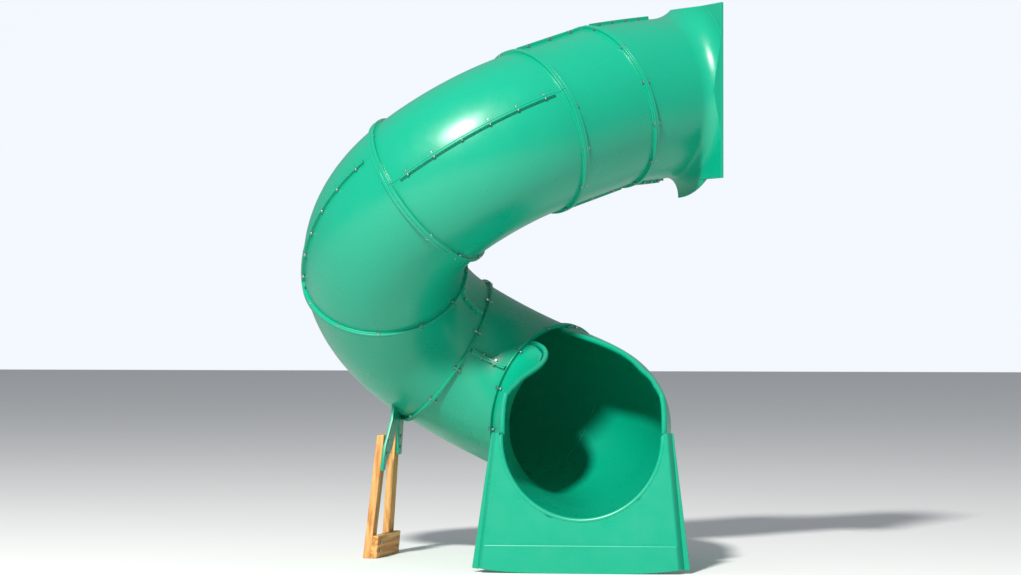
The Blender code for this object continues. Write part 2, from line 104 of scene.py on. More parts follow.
def walkRoute():
    heading = Matrix.Rotation(math.radians(route["heading"]), 3, "Z") @ Vector((1, 0, 0))
    slope = math.radians(route["slope"])
    along = heading * math.cos(slope) - up * math.sin(slope)
    place = placeAt(Vector(), along, heading * math.sin(slope) + up * math.cos(slope))
    found = {"straight": (place, 0, route["straight"])}
    place = turned(ahead(place, route["straight"]), route["firstTurn"])
    arc = route["elbowRadius"] * math.radians(route["elbowAngle"])
    for number in range(1, route["elbows"] + 1):
        found["elbow%d" % number] = (place, route["elbowRadius"], arc)
        last = number == route["elbows"]
        place = turned(bent(place, route["elbowRadius"], arc), route["exitTurn" if last else "nextTurn"])
    found["exit"] = (place, route["exitRadius"], route["exitRadius"] * math.radians(route["exitAngle"]))
    rim = ahead(bent(*found["exit"]), route["exitRun"])
    forward = axisOf(rim, 2)
    forward.z = 0
    forward.normalize()
    # the foot's mount lies on the ground below the rim, a leaning foot's throw ahead of it
    throw = math.tan(math.radians(route["lean"])) * route["rimHeight"] - 0.001
    wanted = mounts["foot_ground"] - forward * throw + up * route["rimHeight"]
    shift = Matrix.Translation(wanted - rim.translation)
    return {name: (shift @ start, radius, length) for name, (start, radius, length) in found.items()}, shift @ rim


sections, rim = walkRoute()
forward = Vector((rim.col[2].x, rim.col[2].y, 0)).normalized()
sideways = up.cross(forward)
joints = [sections["straight"][0]] + [bent(*sections[name]) for name in list(sections)[:-1]]
print("route walked:", len(joints), "ring joints")


# ---- small helpers for modelling
def pickOnly(piece):
    if bpy.context.object and bpy.context.object.mode != "OBJECT":
        bpy.ops.object.mode_set(mode="OBJECT")
    bpy.ops.object.select_all(action="DESELECT")
    piece.select_set(True)
    bpy.context.view_layer.objects.active = piece


def startEdit(piece):
    pickOnly(piece)
    bpy.ops.object.mode_set(mode="EDIT")
    bpy.ops.mesh.select_mode(type="VERT")
    bpy.ops.mesh.select_all(action="SELECT")


def endEdit():
    bpy.ops.mesh.select_all(action="SELECT")
    bpy.ops.object.mode_set(mode="OBJECT")


def settle(piece, name):
    piece.name = piece.data.name = name
    bpy.ops.object.transform_apply(location=True, rotation=True, scale=True)
    return piece


def movePicked(piece, move):
    shape = bmesh.from_edit_mesh(piece.data)
    for corner in shape.verts:
        if corner.select:
            corner.co = move(corner.co)
    bmesh.update_edit_mesh(piece.data)


def pickFaces(piece, test):
    bpy.ops.mesh.select_mode(type="FACE")
    bpy.ops.mesh.select_all(action="DESELECT")
    shape = bmesh.from_edit_mesh(piece.data)
    for face in shape.faces:
        face.select_set(bool(test(face)))
    bmesh.update_edit_mesh(piece.data)


def copyOf(piece, name, move=None):
    twin = piece.copy()
    twin.data = piece.data.copy()
    twin.name = twin.data.name = name
    bpy.context.scene.collection.objects.link(twin)
    if move:
        twin.data.transform(move)
    return twin


def modify(piece, kind, **settings):
    pickOnly(piece)
    bpy.ops.object.modifier_add(type=kind)
    modifier = piece.modifiers[-1]
    for key, value in settings.items():
        setattr(modifier, key, value)
    bpy.ops.object.modifier_apply(modifier=modifier.name)


def combine(piece, tool, operation):
    modify(piece, "BOOLEAN", operation=operation, solver="EXACT", object=tool)
    bpy.data.objects.remove(tool, do_unlink=True)


def softEdges(piece, width, angle=40, segments=3):
    modify(piece, "BEVEL", width=width, segments=segments, limit_method="ANGLE",
           angle_limit=math.radians(angle), use_clamp_overlap=False)


def smooth(piece, angle=38):
    pickOnly(piece)
    bpy.ops.object.shade_smooth_by_angle(angle=math.radians(angle))
    modify(piece, "WEIGHTED_NORMAL", keep_sharp=True, weight=80)


def cut(piece, point, normal, keep="both", fill=False):
    # keeps what is ahead of the plane, behind it, or both
    bpy.ops.mesh.bisect(plane_co=point, plane_no=normal, use_fill=fill, threshold=0.00001,
                        clear_inner=keep == "ahead", clear_outer=keep == "behind")


def sweep(name, rings, capped=False, sides=None):
    # rings are (place, reach) pairs; reach is a radius, or gives one for an angle
    place, reach = rings[0]
    bpy.ops.object.select_all(action="DESELECT")
    bpy.ops.mesh.primitive_circle_add(vertices=sides or tube["sides"], radius=1.0,
                                      fill_type="NGON" if capped else "NOTHING",
                                      location=place.translation, rotation=place.to_euler())
    piece = settle(bpy.context.object, name)
    startEdit(piece)

    def spread(before, after, reach):
        back = before.inverted()

        def move(point):
            spot = back @ point
            angle = math.atan2(spot.y, spot.x)
            size = reach(angle) if callable(reach) else reach
            return after @ Vector((math.cos(angle) * size, math.sin(angle) * size, 0))
        movePicked(piece, move)

    spread(place, place, reach)
    for after, reach in rings[1:]:
        bpy.ops.mesh.extrude_region_move()
        spread(place, after, reach)
        place = after
    bpy.ops.mesh.select_all(action="SELECT")
    bpy.ops.mesh.normals_make_consistent(inside=False)
    endEdit()
    return piece


def plate(name, near, far):
    # a flat outline at its near corners, extruded to its far ones
    bpy.ops.object.select_all(action="DESELECT")
    bpy.ops.mesh.primitive_circle_add(vertices=len(near), radius=1.0, fill_type="NGON")
    piece = settle(bpy.context.object, name)
    for corner, spot in zip(piece.data.vertices, near):
        corner.co = spot
    startEdit(piece)
    bpy.ops.mesh.extrude_region_move()
    movePicked(piece, lambda point: far[min(range(len(near)), key=lambda k: (near[k] - point).length)])
    bpy.ops.mesh.select_all(action="SELECT")
    bpy.ops.mesh.normals_make_consistent(inside=False)
    endEdit()
    return piece


def onTube(section, point):
    # distance down the section, offset to the seam's side, offset across
    start, radius, _ = section
    spot = start.inverted() @ point
    if not radius:
        return spot.z, spot.x, spot.y
    return radius * math.atan2(spot.z, radius - spot.x), radius - math.hypot(radius - spot.x, spot.z), spot.y


def raiseFlange(piece, section, test):
    # the outer faces that pass the test grow out to the flange's radius
    start, radius, _ = section

    def outer(face):
        distance, x, y = onTube(section, face.calc_center_median())
        return math.hypot(x, y) > tube["radius"] - tube["wall"] / 3 and test(distance)
    pickFaces(piece, outer)
    bpy.ops.mesh.extrude_region_move()

    def grow(point):
        distance, x, y = onTube(section, point)
        share = tube["flange"] / math.hypot(x, y)
        return bent(start, radius, distance) @ Vector((x * share, y * share, 0))
    movePicked(piece, grow)


def raiseSeam(piece, section, first, last):
    # the narrow outer faces beside the seam grow out along it
    start, radius, _ = section

    def beside(face):
        distance, x, y = onTube(section, face.calc_center_median())
        return (math.hypot(x, y) > tube["radius"] - tube["wall"] / 3 and abs(y) < tube["seamHalf"]
                and first < distance < last)
    pickFaces(piece, beside)
    bpy.ops.mesh.extrude_region_move()

    def grow(point):
        distance, x, _ = onTube(section, point)
        lift = math.copysign(tube["flange"] - tube["radius"], x)
        return point + axisOf(bent(start, radius, distance), 0) * lift
    movePicked(piece, grow)


# ---- straight tube and elbows: each is two halves that meet in the seam's plane
elbow = {"steps": 22, "straightSteps": 6}


def tubeHalves(name, section, steps):
    start, radius, length = section
    margin = tube["seamMargin"] * length
    distances = [tube["gap"] / 2, tube["collar"]]
    distances += [margin + (length - 2 * margin) * k / steps for k in range(steps + 1)]
    distances += [length - tube["collar"], length - tube["gap"] / 2]
    shell = sweep("shell", [(bent(start, radius, distance), tube["radius"]) for distance in distances])
    halves = []
    for letter, sign in (("A", 1), ("B", -1)):
        half = copyOf(shell, name + "Half" + letter)
        side = axisOf(start, 1) * sign
        startEdit(half)
        cut(half, start.translation + side * tube["gap"] / 2, side, keep="ahead")
        bpy.ops.mesh.select_all(action="SELECT")
        cut(half, start.translation + side * tube["seamHalf"], side)
        endEdit()
        modify(half, "SOLIDIFY", thickness=tube["wall"], offset=-1, use_even_offset=True)
        startEdit(half)
        raiseFlange(half, section, lambda distance: distance < tube["collar"] or distance > length - tube["collar"])
        raiseSeam(half, section, margin, length - margin)
        endEdit()
        softEdges(half, tube["softEdge"])
        smooth(half)
        halves.append(half)
    bpy.data.objects.remove(shell, do_unlink=True)
    return halves


pieces = {}          # piece -> (material, slot, CAD nodes it stands for)
greenPieces = []


def stand(piece, slot, *nodes):
    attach(piece, "root")
    if nodes:
        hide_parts(*nodes)
    pieces[piece] = slot


for half in tubeHalves("straight", sections["straight"], elbow["straightSteps"]):
    greenPieces.append((half, "straight_half_" + half.name[-1].lower()))
firstElbow = tubeHalves("elbow1", sections["elbow1"], elbow["steps"])
for number in range(1, route["elbows"] + 1):
    move = sections["elbow%d" % number][0] @ sections["elbow1"][0].inverted()
    for half in firstElbow:
        letter = half.name[-1]
        twin = half if number == 1 else copyOf(half, "elbow%dHalf%s" % (number, letter), move)
        greenPieces.append((twin, "elbow_%d_half_%s" % (number, letter.lower())))
print("tubes modelled:", len(greenPieces), "halves")


# ---- entrance: an inlet tube that opens through a cove into its square panel
entrance = {"length": 0.367, "slope": 8.4, "panelYaw": -6.4, "panelHalf": 0.337, "panelThickness": 0.012,
            "cove": 0.088, "lip": 0.022, "collar": 0.030, "seamStart": 0.12, "coveSteps": 14}


def coveReach(radius, size, distance):
    if distance >= size:
        return radius
    rise = min(1.0, 1 - distance / size)
    return radius + size * (1 - math.sqrt(1 - rise * rise))


def makeEntrance():
    ring = joints[0]
    ringAlong = axisOf(ring, 2)
    heading = Vector((ringAlong.x, ringAlong.y, 0)).normalized()
    slope = math.radians(entrance["slope"])
    axis = heading * math.cos(slope) - up * math.sin(slope)
    run = entrance["length"] - entrance["collar"]
    centre = ring.translation - ringAlong * entrance["collar"] - axis * run
    facing = Matrix.Rotation(math.radians(entrance["panelYaw"]), 3, "Z") @ heading
    wide = facing.cross(up)
    split = axisOf(ring, 1)

    def mouth(distance):
        # square to the panel at its face, square to the ring at its end
        share = min(max(distance / run, 0.0), 1.0)
        along = facing.lerp(ringAlong, share).normalized()
        point = centre + axis * run * share
        if distance < 0 or distance > run:
            point += along * (distance - run * share)
        return placeAt(point, along, (-up + along * along.z).normalized())

    def panelPoint(across, height, depth):
        return centre + wide * across + up * height + facing * depth

    def square(half, depth):
        return [panelPoint(a * half, b * half, depth) for a, b in ((-1, -1), (1, -1), (1, 1), (-1, 1))]

    far = entrance["length"] - tube["gap"] / 2
    thick, cove, count = entrance["panelThickness"], entrance["cove"], entrance["coveSteps"]
    bend = [cove * (1 - math.sin(math.pi / 2 * (1 - k / count))) for k in range(count + 1)]
    distances = [0.003] + [thick + step for step in bend]
    seamEnd = far - 0.030
    distances += [entrance["seamStart"] + (seamEnd - entrance["seamStart"]) * k / 8 for k in range(9)]
    distances += [far - tube["collar"], far]
    outside = sweep("outside", [(mouth(d), coveReach(tube["radius"], cove, d - thick)) for d in distances], True)
    lipBend = [entrance["lip"] * (1 - math.cos(math.pi / 2 * k / 6)) for k in range(7)]
    inner = [-0.02] + lipBend + [0.05 + 0.04 * k for k in range(8)] + [far + 0.02]
    bore = sweep("bore", [(mouth(d), coveReach(tube["radius"] - tube["wall"], entrance["lip"], d)) for d in inner],
                 True)
    trim = entrance["panelHalf"] - 0.001
    halves = []
    for letter, sign in (("A", 1), ("B", -1)):
        side = split * sign
        half = copyOf(outside, "entranceHalf" + letter)
        startEdit(half)
        cut(half, ring.translation + side * tube["gap"] / 2, side, keep="ahead", fill=True)
        bpy.ops.mesh.select_all(action="SELECT")
        cut(half, ring.translation + side * tube["seamHalf"], side)

        def spot(point):
            flat = point - ring.translation
            low, high = 0.0, entrance["length"]
            for _ in range(18):             # which ring's plane holds the point
                middle = (low + high) / 2
                place = mouth(middle)
                if (point - place.translation).dot(axisOf(place, 2)) > 0:
                    low = middle
                else:
                    high = middle
            place = mouth(low)
            away = point - place.translation
            return low, away.dot(axisOf(place, 0)), flat.dot(side), away.length, place

        def isCollar(face):
            distance, _, _, size, _ = spot(face.calc_center_median())
            return size > tube["radius"] - 0.002 and far - tube["collar"] < distance < far - 0.001
        pickFaces(half, isCollar)
        bpy.ops.mesh.extrude_region_move()

        def growCollar(point):
            place = spot(point)[4]
            away = point - place.translation
            return place.translation + away * tube["flange"] / away.length
        movePicked(half, growCollar)

        def isSeam(face):
            distance, _, across, size, _ = spot(face.calc_center_median())
            return (size > tube["radius"] - 0.002 and tube["gap"] < across < tube["seamHalf"]
                    and entrance["seamStart"] < distance < seamEnd)
        pickFaces(half, isSeam)
        bpy.ops.mesh.extrude_region_move()

        def growSeam(point):
            _, x, _, _, place = spot(point)
            return point + axisOf(place, 0) * math.copysign(tube["flange"] - tube["radius"], x)
        movePicked(half, growSeam)
        endEdit()
        softEdges(half, tube["softEdge"])
        block = plate("block", square(trim, -0.1), square(trim, thick + cove + 0.004))
        room = plate("room", square(1.0, thick + cove + 0.004), square(1.0, 1.0))
        combine(block, room, "UNION")
        combine(half, block, "INTERSECT")
        panel = plate("panel", square(entrance["panelHalf"], 0), square(entrance["panelHalf"], thick))
        softEdges(panel, 0.002)
        startEdit(panel)
        cut(panel, ring.translation + side * tube["gap"] / 2, side, keep="ahead", fill=True)
        endEdit()
        combine(half, panel, "UNION")
        combine(half, copyOf(bore, "hole"), "DIFFERENCE")
        smooth(half)
        halves.append(half)
    for spare in (outside, bore):
        bpy.data.objects.remove(spare, do_unlink=True)
    return halves, mouth


entranceHalves, mouth = makeEntrance()
for half in entranceHalves:
    greenPieces.append((half, "entrance_half_" + half.name[-1].lower()))
print("entrance modelled")


# ---- exit: a bend that opens into a scoop with a rolled edge, on a leaning foot
scoop = {"sides": 128, "bendSteps": 20, "runSteps": 14, "setback": 0.075, "cornerHeight": 0.163,
         "edgeSetback": 0.060, "shoulder": 0.026, "bead": 0.0105,
         "shoulders": ((0.0, 0.0), (0.45, 0.2), (0.65, 0.4), (0.8, 1.0), (1.3, 1.0))}
foot = {"halfTop": 0.318, "halfBottom": 0.368, "depth": 0.040, "wall": 0.008, "draft": 0.50,
        "flangeTop": 0.002, "flangeGround": 0.016, "toeHeight": 0.108, "toeProud": 0.006, "bow": 0.015,
        "softEdge": 0.006}


def shoulderBlend(share):
    steps = scoop["shoulders"]
    for (low, before), (high, after) in zip(steps, steps[1:]):
        if share <= high:
            t = (share - low) / (high - low)
            return before + (after - before) * t * t * (3 - 2 * t)
    return steps[-1][1]


def scoopReach(radius, blend):
    # a circle whose upper half grows square shoulders
    power = 2 + 2 * blend

    def reach(angle):
        level = math.sin(angle)
        if level <= 0:
            return radius
        return radius * (abs(math.cos(angle)) ** power + level ** power) ** (-1 / power)
    return reach


def exitRings(radius, begin, overrun):
    start, bendRadius, length = sections["exit"]
    rings = [(upright(ahead(start, distance)), radius) for distance in begin]
    count = scoop["bendSteps"]
    first = 0.03
    rings += [(upright(bent(start, bendRadius, first + (length - first) * k / count)), radius)
              for k in range(count + 1)]
    count = scoop["runSteps"]
    for k in range(1, count + 1):
        share = k / count
        rings.append((upright(ahead(rim, route["exitRun"] * (share - 1))), scoopReach(radius, shoulderBlend(share))))
    rings.append((upright(ahead(rim, overrun)), scoopReach(radius, 1.0)))
    return rings


def makeExit():
    start, bendRadius, length = sections["exit"]
    lean = math.tan(math.radians(route["lean"]))
    face = (forward + up * lean).normalized()
    gap = tube["gap"] / 2
    body = sweep("exitScoop", exitRings(tube["radius"], (gap, tube["collar"]), 0.12), True, scoop["sides"])
    startEdit(body)
    cut(body, rim.translation, face, keep="behind", fill=True)
    raiseFlange(body, sections["exit"], lambda distance: gap < distance < tube["collar"])
    endEdit()
    softEdges(body, tube["softEdge"])

    def sidePoint(reach, height, depth):
        return rim.translation - forward * reach + up * height + sideways * depth

    def footPoint(across, height, depth):
        base = Vector((rim.translation.x, rim.translation.y, rim.translation.z - route["rimHeight"]))
        throw = lean * (route["rimHeight"] - height) - depth
        return base + sideways * across + up * height + forward * throw

    shoulder = route["rimHeight"] + scoop["shoulder"]

    def halfAt(height, depth, extra=0.0):
        drop = 1 - height / shoulder
        width = foot["halfTop"] + (foot["halfBottom"] - foot["halfTop"]) * drop
        return width + foot["draft"] * depth * (0.8 + 0.2 * drop) + extra

    def outline(bottom, top, depth, inset=0.0, grow=(0.0, 0.0), bowed=True):
        # the foot's front view: its bottom edge lifts a little towards its corners
        points = []
        for k in range(-8, 9):
            share = k / 8
            height = bottom + (foot["bow"] * share ** 4 if bowed else 0.0)
            points.append(((halfAt(height, depth, grow[0]) - inset) * share, height))
        points += [(halfAt(top, depth, grow[1]) - inset, top), (-halfAt(top, depth, grow[1]) + inset, top)]
        return points

    def footPlate(name, near, far):
        (nearDepth, nearLine), (farDepth, farLine) = near, far
        return plate(name, [footPoint(a, h, nearDepth) for a, h in nearLine],
                     [footPoint(a, h, farDepth) for a, h in farLine])

    depth, wall = foot["depth"], foot["wall"]
    skirt = footPlate("skirt", (0, outline(0, shoulder, 0)), (depth, outline(0, shoulder, depth)))
    softEdges(skirt, foot["softEdge"])
    toe = footPlate("toe", (-foot["toeProud"], outline(0, foot["toeHeight"] - 0.006, 0, 0.004)),
                    (wall, outline(0, foot["toeHeight"] + 0.001, wall, -0.001)))
    softEdges(toe, 0.003)
    combine(skirt, toe, "UNION")
    grow = (foot["flangeGround"], foot["flangeTop"])
    back = footPlate("back", (depth - wall, outline(0, shoulder, depth, grow=grow)),
                     (depth, outline(0, shoulder, depth, grow=grow)))
    softEdges(back, 0.0025)
    combine(skirt, back, "UNION")
    roof = shoulder - wall
    hollow = footPlate("hollow", (wall, outline(-0.05, roof, wall, wall, bowed=False)),
                       (depth + 0.05, outline(-0.05, roof, depth + 0.05, wall, bowed=False)))
    combine(skirt, hollow, "DIFFERENCE")
    combine(body, skirt, "UNION")
    bore = sweep("bore", exitRings(tube["radius"] - tube["wall"], (-0.01, 0.01), 0.20), True, scoop["sides"])
    combine(body, bore, "DIFFERENCE")

    apex = upright(bent(start, bendRadius, scoop["setback"]))
    top = apex.translation + axisOf(apex, 1) * tube["radius"] - rim.translation
    reach = -top.dot(forward)
    corner = Vector((scoop["edgeSetback"] + scoop["cornerHeight"] * lean, scoop["cornerHeight"]))
    slant = Vector((reach, top.z)) - corner
    slantUp = Vector((-slant.y, slant.x)).normalized()
    bead = scoop["bead"]

    def mouthLine(inset):
        # the scoop's side view, moved back into its wall by the inset
        low = scoop["shoulder"] - inset
        setback = scoop["edgeSetback"] + inset
        steepness = slant.y / slant.x
        onSlant = corner - slantUp * inset
        cornerReach = (setback - lean * (steepness * onSlant.x - onSlant.y)) / (1 - lean * steepness)
        cornerHeight = onSlant.y + steepness * (cornerReach - onSlant.x)
        return low, setback, Vector((cornerReach, cornerHeight)), steepness

    low, setback, bendPoint, steepness = mouthLine(bead * 0.85)
    over = reach + 0.5 - bendPoint.x
    ceiling = bendPoint.y + over * steepness
    profile = [(setback + low * lean, low), tuple(bendPoint), (bendPoint.x + over, ceiling), (-0.5, ceiling),
               (-0.5, low)]
    combine(body, plate("opening", [sidePoint(a, h, -0.6) for a, h in profile],
                        [sidePoint(a, h, 0.6) for a, h in profile]), "DIFFERENCE")

    # rolled edge: the mouth's own outline, taken from a thin guide and given a round section
    low, setback, bendPoint, steepness = mouthLine(bead)
    centre = tube["radius"] - bead
    guide = sweep("rolledEdge", exitRings(centre, (0.0, 0.01), 0.12), False, scoop["sides"])
    startEdit(guide)
    cut(guide, rim.translation - face * bead, face, keep="behind")
    bpy.ops.mesh.select_all(action="SELECT")
    flat = Vector((steepness, -1)).normalized()      # down from the slanted cut
    cut(guide, sidePoint(bendPoint.x, bendPoint.y, 0), -forward * flat.x + up * flat.y, keep="ahead")
    bpy.ops.mesh.select_all(action="SELECT")
    cut(guide, sidePoint(0, low, 0), up)
    pickFaces(guide, lambda f: (f.calc_center_median() - rim.translation).z > low
              and (f.calc_center_median() - rim.translation).dot(forward) > -0.25)
    cut(guide, sidePoint(setback, 0, 0), face, keep="behind")
    bpy.ops.mesh.select_all(action="DESELECT")
    bpy.ops.mesh.select_mode(type="EDGE")
    shape = bmesh.from_edit_mesh(guide.data)
    for edge in shape.edges:
        middle = (edge.verts[0].co + edge.verts[1].co) / 2
        edge.select_set(not (edge.is_boundary and onTube(sections["exit"], middle)[0] > 0.005))
    bmesh.update_edit_mesh(guide.data)
    bpy.ops.mesh.delete(type="EDGE")
    bpy.ops.mesh.select_all(action="SELECT")
    bpy.ops.mesh.remove_doubles(threshold=0.003)
    endEdit()
    bpy.ops.object.convert(target="CURVE")
    guide.data.bevel_depth = bead
    guide.data.bevel_resolution = 5
    print("rolled edge:", len(guide.data.splines), "line of", len(guide.data.splines[0].points), "points")
    bpy.ops.object.convert(target="MESH")
    combine(body, guide, "UNION")
    smooth(body)
    return body


greenPieces.append((makeExit(), "exit_section"))
print("exit modelled")


# ---- timber prop and its moulded bracket, with the CAD's outlines and softened edges
prop = {"timberEdge": 0.0035, "bracketEdge": 0.0025}


def softened(node, name, width):
    piece = copyOf(frame["nodes"][node], name)
    piece.parent = None
    for key in list(piece.keys()):
        del piece[key]
    startEdit(piece)
    bpy.ops.mesh.remove_doubles(threshold=0.00002)
    bpy.ops.mesh.dissolve_limited(angle_limit=math.radians(2))
    endEdit()
    pickOnly(piece)
    if piece.data.has_custom_normals:
        bpy.ops.mesh.customdata_custom_splitnormals_clear()
    softEdges(piece, width, angle=50)
    smooth(piece)
    return piece


timber = [(softened(node, name, prop["timberEdge"]), node)
          for node, name in (("leg_near", "legNear"), ("leg_far", "legFar"), ("base_board", "baseBoard"))]
greenPieces.append((softened("prop_bracket", "propBracket", prop["bracketEdge"]), "prop_bracket"))
print("prop modelled")


# ---- bolts: one is modelled, the rest are copies
bolt = {"shank": 0.003, "head": 0.0058, "headHeight": 0.0036, "nut": 0.0058, "nutHeight": 0.0048,
        "washer": 0.0066, "washerHeight": 0.0009, "ringCount": 12, "outerSeam": (0.123, 0.886, 6),
        "innerSeam": (0.35, 0.65, 2), "straightSeam": (0.2, 0.8, 3), "entranceSeam": (0.16, 0.305, 4)}


def modelBolt(name, seat):
    def disc(sides, radius, height, low, edge):
        bpy.ops.object.select_all(action="DESELECT")
        bpy.ops.mesh.primitive_cylinder_add(vertices=sides, radius=radius, depth=height,
                                            location=(0, 0, low + height / 2))
        part = settle(bpy.context.object, name)
        if edge:
            softEdges(part, edge, angle=70, segments=2)
        return part
    washer = bolt["washerHeight"]
    parts = [disc(12, bolt["shank"], 2 * seat + 0.004, -seat - 0.002, 0),
             disc(16, bolt["washer"], washer, seat, 0),
             disc(16, bolt["washer"], washer, -seat - washer, 0),
             disc(16, bolt["head"], bolt["headHeight"], seat + washer, bolt["headHeight"] * 0.55),
             disc(6, bolt["nut"], bolt["nutHeight"], -seat - washer - bolt["nutHeight"], 0.0005)]
    bpy.ops.object.select_all(action="DESELECT")
    for part in parts:
        part.select_set(True)
    bpy.context.view_layer.objects.active = parts[0]
    bpy.ops.object.join()
    smooth(parts[0], 30)
    return parts[0]


def boltGroup(name, model, places):
    group = [copyOf(model, name, place) for place in places]
    bpy.ops.object.select_all(action="DESELECT")
    for one in group:
        one.select_set(True)
    bpy.context.view_layer.objects.active = group[0]
    bpy.ops.object.join()
    group[0].name = group[0].data.name = name
    return group[0]


boltRadius = (tube["radius"] + tube["flange"]) / 2
ringBolt = modelBolt("ringBolt", tube["collar"] + tube["gap"] / 2)
seamBolt = modelBolt("seamBolt", tube["seamHalf"])
boltPieces = []
for number, place in enumerate(joints, 1):
    step = 360 / bolt["ringCount"]
    places = [turned(place, step * (k + 0.5)) @ Matrix.Translation((boltRadius, 0, 0)) for k in range(bolt["ringCount"])]
    nodes = ["ring_%d_bolt_%d" % (number, k) for k in range(1, 5)]
    boltPieces.append((boltGroup("ring%dBolts" % number, ringBolt, places), nodes))


def spread(first, last, count):
    return [first + (last - first) * k / (count - 1) for k in range(count)]


def seamPlaces(name):
    start, radius, length = sections[name]
    if name.startswith("elbow"):
        spots = [(share * length, -1) for share in spread(*bolt["outerSeam"])]
        spots += [(share * length, 1) for share in spread(*bolt["innerSeam"])]
    else:
        spots = [(share * length, sign) for share in spread(*bolt["straightSeam"]) for sign in (1, -1)]
    return [bent(start, radius, distance) @ Matrix.Translation((sign * boltRadius, 0, 0))
            @ Matrix.Rotation(math.radians(-90), 4, "X") for distance, sign in spots]


for name in list(sections)[:-1]:
    boltPieces.append((boltGroup(name + "SeamBolts", seamBolt, seamPlaces(name)), []))
places = [mouth(distance) @ Matrix.Translation((sign * boltRadius, 0, 0)) @ Matrix.Rotation(math.radians(-90), 4, "X")
          for distance in spread(*bolt["entranceSeam"]) for sign in (1, -1)]
boltPieces.append((boltGroup("entranceSeamBolts", seamBolt, places), []))
propNodes = sorted(name for name in frame["nodes"] if name.startswith("prop_bolt"))
propBolts = []
low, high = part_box("base_board")
boardSide = (mounts["leg_far_ground"] - mounts["leg_near_ground"]).normalized().cross(up)
for node in propNodes:
    low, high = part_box(node)
    reach = (high - low).length / 2
    across = (mounts["leg_far_ground"] - mounts["leg_near_ground"]).normalized()
    seat = ((high - low).dot(Vector([abs(v) for v in boardSide]))) / 2 - 0.0045
    model = modelBolt("propBolt", seat)
    place = placeAt((low + high) / 2, boardSide, across)
    propBolts.append(copyOf(model, node + "Model", place))
    bpy.data.objects.remove(model, do_unlink=True)
bpy.ops.object.select_all(action="DESELECT")
for one in propBolts:
    one.select_set(True)
bpy.context.view_layer.objects.active = propBolts[0]
bpy.ops.object.join()
propBolts[0].name = propBolts[0].data.name = "propBolts"
boltPieces.append((propBolts[0], propNodes))
for spare in (ringBolt, seamBolt):
    bpy.data.objects.remove(spare, do_unlink=True)
print("bolts placed:", len(boltPieces), "groups")


# ---- materials
def linear(code):
    values = [int(code[k:k + 2], 16) / 255 for k in (1, 3, 5)]
    return tuple(v / 12.92 if v <= 0.04045 else ((v + 0.055) / 1.055) ** 2.4 for v in values) + (1.0,)


def addNode(tree, kind, inputs=None, **settings):
    node = tree.nodes.new(kind)
    for key, value in settings.items():
        setattr(node, key, value)
    for key, value in (inputs or {}).items():
        if isinstance(value, bpy.types.NodeSocket):
            tree.links.new(value, node.inputs[key])
        else:
            node.inputs[key].default_value = value
    return node


def newMaterial(name):
    material = bpy.data.materials.new(name)
    material.use_nodes = True
    tree = material.node_tree
    shader = tree.nodes["Principled BSDF"]
    coordinate = addNode(tree, "ShaderNodeTexCoord").outputs["Object"]
    return material, tree, shader, coordinate


plastic = {"green": "#00A481", "deepGreen": "#009A77", "fadedGreen": "#16B492", "roughness": (0.24, 0.40),
           "patchSize": 0.35, "peelSize": 0.004, "rippleSize": 0.07, "scuffSize": 0.012}


def rotomouldedHdpe():
    # rotomoulded HDPE: even through-colour, soft gloss, faint orange peel and slow ripples from the mould
    material, tree, shader, where = newMaterial("rotomoulded HDPE")
    patches = addNode(tree, "ShaderNodeTexNoise", {"Vector": where, "Scale": 1 / plastic["patchSize"],
                                                   "Detail": 3.0, "Roughness": 0.5})
    tint = addNode(tree, "ShaderNodeMix", {"Factor": patches.outputs["Fac"], "A": linear(plastic["deepGreen"]),
                                           "B": linear(plastic["green"])}, data_type="RGBA")
    facing = addNode(tree, "ShaderNodeSeparateXYZ", {"Vector": addNode(tree, "ShaderNodeNewGeometry").outputs["Normal"]})
    sky = addNode(tree, "ShaderNodeMapRange", {"Value": facing.outputs["Z"], "From Min": 0.2, "From Max": 1.0,
                                               "To Min": 0.0, "To Max": 0.35})
    speckle = addNode(tree, "ShaderNodeTexNoise", {"Vector": where, "Scale": 1 / plastic["scuffSize"], "Detail": 2.0})
    fade = addNode(tree, "ShaderNodeMath", {0: sky.outputs["Result"], 1: speckle.outputs["Fac"]}, operation="MULTIPLY")
    colour = addNode(tree, "ShaderNodeMix", {"Factor": fade.outputs[0], "A": tint.outputs["Result"],
                                             "B": linear(plastic["fadedGreen"])}, data_type="RGBA")
    tree.links.new(colour.outputs["Result"], shader.inputs["Base Color"])
    low, high = plastic["roughness"]
    scuffs = addNode(tree, "ShaderNodeTexNoise", {"Vector": where, "Scale": 9.0, "Detail": 8.0, "Roughness": 0.7})
    rough = addNode(tree, "ShaderNodeMapRange", {"Value": scuffs.outputs["Fac"], "From Min": 0.3, "From Max": 0.75,
                                                 "To Min": low, "To Max": high})
    tree.links.new(rough.outputs["Result"], shader.inputs["Roughness"])
    shader.inputs["IOR"].default_value = 1.54
    peel = addNode(tree, "ShaderNodeTexNoise", {"Vector": where, "Scale": 1 / plastic["peelSize"], "Detail": 2.0})
    ripple = addNode(tree, "ShaderNodeTexNoise", {"Vector": where, "Scale": 1 / plastic["rippleSize"], "Detail": 1.0})
    slow = addNode(tree, "ShaderNodeBump", {"Height": ripple.outputs["Fac"], "Strength": 0.25, "Distance": 0.002})
    fine = addNode(tree, "ShaderNodeBump", {"Height": peel.outputs["Fac"], "Strength": 0.10, "Distance": 0.0004,
                                            "Normal": slow.outputs["Normal"]})
    tree.links.new(fine.outputs["Normal"], shader.inputs["Normal"])
    return material


pine = {"early": "#E3B06C", "late": "#B97A35", "weathered": "#8C6A45", "ringWidth": 0.006, "poreSize": 0.0015}


